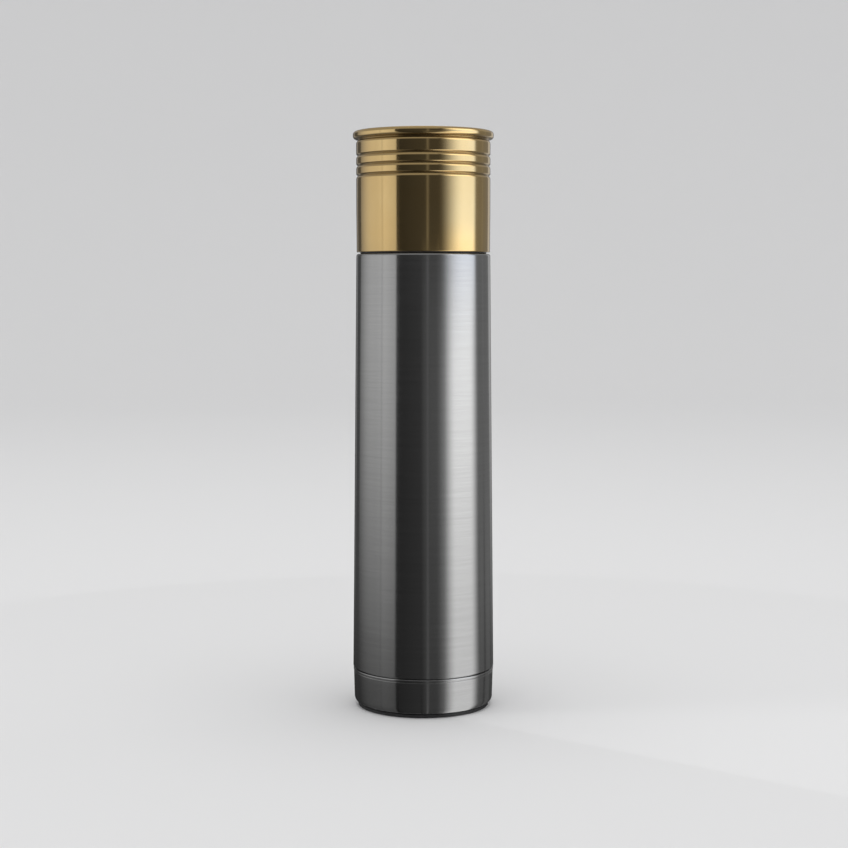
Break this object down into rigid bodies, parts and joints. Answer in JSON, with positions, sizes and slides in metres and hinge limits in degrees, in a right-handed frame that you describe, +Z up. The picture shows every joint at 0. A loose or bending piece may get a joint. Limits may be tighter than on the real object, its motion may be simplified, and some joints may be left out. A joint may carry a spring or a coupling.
{
  "type": "vacuum flask",
  "caption": "Slightly flared steel vacuum flask with a pour-through push-button stopper and a brass screw cup shaped like a cartridge head.",
  "frame": {"origin": "centre of the foot ring's rest plane", "axes": "+Z up along the flask's axis, towards the cup; the two pour spouts face +X and -X"},
  "size_m": [0.0745, 0.0746, 0.302],
  "materials": {
    "brushed_body": "fine horizontal brushing",
    "plain_steel": "satin, electropolished",
    "polished_brass": "polished and lacquered",
    "copper_foil": "bright copper foil",
    "solder": "dull solder",
    "getter_powder": "pressed powder",
    "black_polypropylene": "moulded, lightly textured",
    "grey_polypropylene": "moulded, satin",
    "button_plastic": "moulded, glossy",
    "foam": "rigid white foam",
    "clear_silicone": "milky translucent silicone",
    "black_silicone": "matt",
    "spring_steel": "bright drawn wire"
  },
  "bodies": {
    "flask": {"outer_shell": "brushed_body", "inner_vessel": "plain_steel", "copper_foil": "copper_foil", "bottom_disc": "plain_steel", "vacuum_seal_bead": "solder", "getter_clip": "plain_steel", "getter_tablet": "getter_powder", "base_cap": "brushed_body", "foot_ring": "black_silicone"},
    "stopper_ring": {"stopper_seal": "clear_silicone"},
    "stopper": {"stopper_body": "black_polypropylene", "spout_ring": "black_polypropylene", "insulation_ring": "foam", "insulation_lid": "black_polypropylene", "button_well": "black_polypropylene", "stem_oring": "clear_silicone", "stopper_cover": "black_polypropylene", "valve_spring": "spring_steel"},
    "valve": {"valve_stem": "spring_steel", "valve_head": "grey_polypropylene", "valve_seal": "clear_silicone", "push_button": "button_plastic"},
    "cup_ring": {"cup_seal_ring": "clear_silicone"},
    "cup": {"cup_shell": "polished_brass", "cup_liner": "plain_steel", "cup_thread_ring": "black_polypropylene"}
  },
  "joints": [
    {"name": "stopper_lift", "type": "slide", "parent": "flask", "child": "stopper_ring", "axis": [0, 0, 1], "range_m": [0, 0.045]},
    {"name": "stopper_turn", "type": "hinge", "parent": "stopper_ring", "child": "stopper", "pos_m": [0, 0, 0.26], "axis": [0, 0, 1], "range_deg": [0, 1080]},
    {"name": "button_press", "type": "slide", "parent": "stopper", "child": "valve", "axis": [0, 0, -1], "range_m": [0, 0.005], "stiffness_N_per_m": 700, "springref_m": -0.006, "deforming": ["valve_spring"]},
    {"name": "cup_lift", "type": "slide", "parent": "stopper", "child": "cup_ring", "axis": [0, 0, 1], "range_m": [0, 0.06]},
    {"name": "cup_turn", "type": "hinge", "parent": "cup_ring", "child": "cup", "pos_m": [0, 0, 0.27], "axis": [0, 0, 1], "range_deg": [0, 1440]}
  ],
  "couplings": [
    {"joint": "stopper_lift", "follows": "stopper_turn", "m_per_rad": 0.0023873},
    {"joint": "cup_lift", "follows": "cup_turn", "m_per_rad": 0.0023873}
  ]
}
